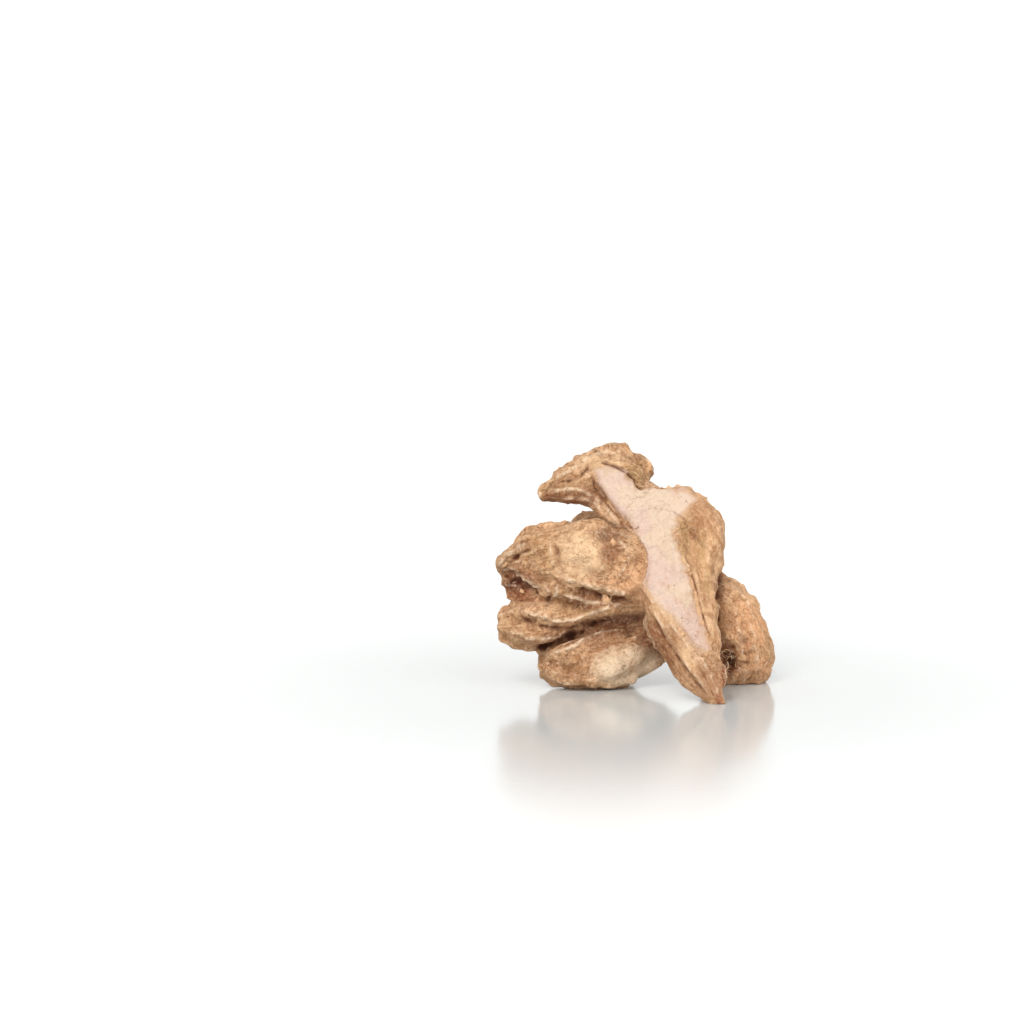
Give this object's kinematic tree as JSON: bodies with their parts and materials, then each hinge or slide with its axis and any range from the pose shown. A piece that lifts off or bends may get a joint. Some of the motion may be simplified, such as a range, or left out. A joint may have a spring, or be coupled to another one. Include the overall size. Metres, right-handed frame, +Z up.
{
  "type": "ginger root",
  "caption": "Dried hand of ginger: branched, wrinkled rhizome with stubby fingers, a flared head and a long pale scraped face, standing on its finger ends.",
  "frame": {"origin": "middle of the footprint's box, on the surface the root stands on", "axes": "+Z up, +X along the root's longest extent, -Y out of the side with the pale scraped face"},
  "size_m": [0.0848, 0.0624, 0.0722],
  "materials": {
    "dried_skin": "matte, dry and dusty"
  },
  "bodies": {
    "root": {"ginger_root": "dried_skin"}
  },
  "joints": []
}
